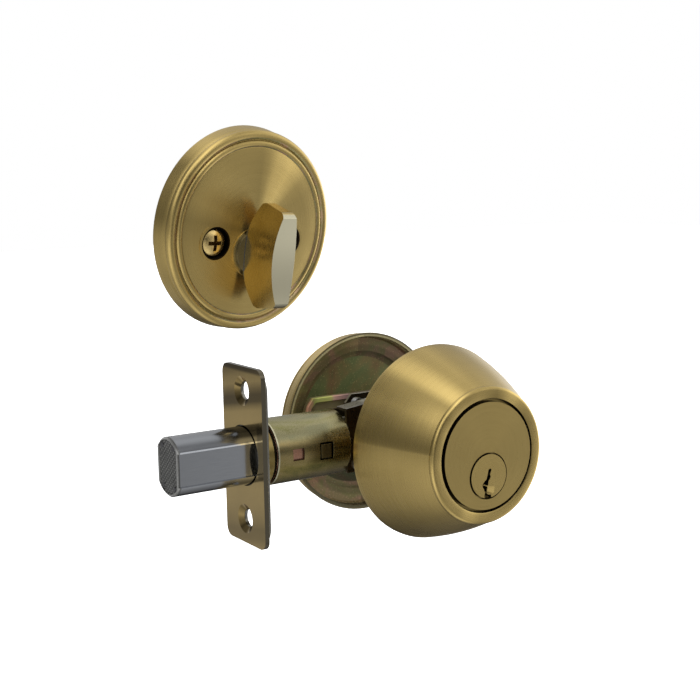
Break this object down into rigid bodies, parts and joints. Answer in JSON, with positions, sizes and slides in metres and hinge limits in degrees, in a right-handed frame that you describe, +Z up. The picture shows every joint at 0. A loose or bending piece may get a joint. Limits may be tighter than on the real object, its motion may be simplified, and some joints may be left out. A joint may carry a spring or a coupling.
{
  "type": "deadbolt door lock",
  "caption": "Single-cylinder deadbolt: tapered keyed collar, square-cornered faceplate with sliding bolt, cam case and round rose with thumbturn.",
  "frame": {"origin": "centre of the faceplate's seat, the rear face of its backing plate, on the bolt's centreline, midway between the two faceplate screw holes; the faceplate's front face is 2.5 mm along -X", "axes": "+X from the door's edge into the door, towards the bore, so the bolt is thrown along -X; -Y to the outdoor (keyed) side and +Y to the indoor (thumbturn) side; +Z up, with the cam axis below the bolt's centreline"},
  "size_m": [0.1187, 0.0929, 0.0642],
  "materials": {
    "antique_brass": "satin antique brass, fine brushed, lacquered",
    "plate_brass": "glossy antique brass",
    "brass": "plain turned brass",
    "bolt_chrome": "bright chrome, satin end face",
    "steel": "bare steel",
    "dark_steel": "hardened steel, dark",
    "yellow_zinc": "yellow chromated zinc on steel",
    "gold_zinc": "gold chromated zinc on steel",
    "copper_steel": "copper-toned plating on steel",
    "dark_zinc": "dark olive chromated steel"
  },
  "bodies": {
    "lock_body": {"cylinder_housing": "antique_brass", "driver_pins": "steel", "pin_springs": "steel", "chamber_cover": "brass", "faceplate": "plate_brass", "backing_plate": "steel", "front_ring": "gold_zinc", "inner_sleeve": "copper_steel", "bolt_tube": "yellow_zinc", "case_exterior": "dark_zinc", "case_interior": "dark_zinc", "case_rivets": "steel", "interior_rose": "antique_brass", "mounting_plate": "yellow_zinc", "spring_washer": "steel", "mounting_screws": "gold_zinc"},
    "collar": {"exterior_collar": "antique_brass", "collar_ring": "steel"},
    "plug": {"key_plug": "antique_brass", "bottom_pins": "brass", "plug_cap": "brass"},
    "turn": {"thumbturn": "antique_brass", "thumb_spindle": "yellow_zinc", "retaining_ring": "dark_steel", "tailpiece": "steel"},
    "cam": {"cam_crank": "yellow_zinc"},
    "bolt": {"bolt_bar": "bolt_chrome", "hardened_pins": "dark_steel", "bolt_tail": "steel", "tail_rivet": "steel"}
  },
  "joints": [
    {"name": "bolt_slide", "type": "slide", "parent": "lock_body", "child": "bolt", "axis": [1, 0, 0], "range_m": [0, 0.0254]},
    {"name": "thumbturn_turn", "type": "hinge", "parent": "lock_body", "child": "turn", "pos_m": [0.0578, 0.0265, -0.00635], "axis": [0, 1, 0], "range_deg": [0, 90]},
    {"name": "cam_turn", "type": "hinge", "parent": "lock_body", "child": "cam", "pos_m": [0.0578, 0, -0.00635], "axis": [0, 1, 0], "range_deg": [0, 90]},
    {"name": "plug_turn", "type": "hinge", "parent": "lock_body", "child": "plug", "pos_m": [0.0578, -0.034, -0.00635], "axis": [0, 1, 0], "range_deg": [0, 90]},
    {"name": "collar_spin", "type": "hinge", "parent": "lock_body", "child": "collar", "pos_m": [0.0578, -0.034, 0], "axis": [0, 1, 0], "continuous": true}
  ],
  "couplings": [
    {"joint": "thumbturn_turn", "follows": "bolt_slide", "rad_per_m": 61.842},
    {"joint": "cam_turn", "follows": "bolt_slide", "rad_per_m": 61.842}
  ]
}
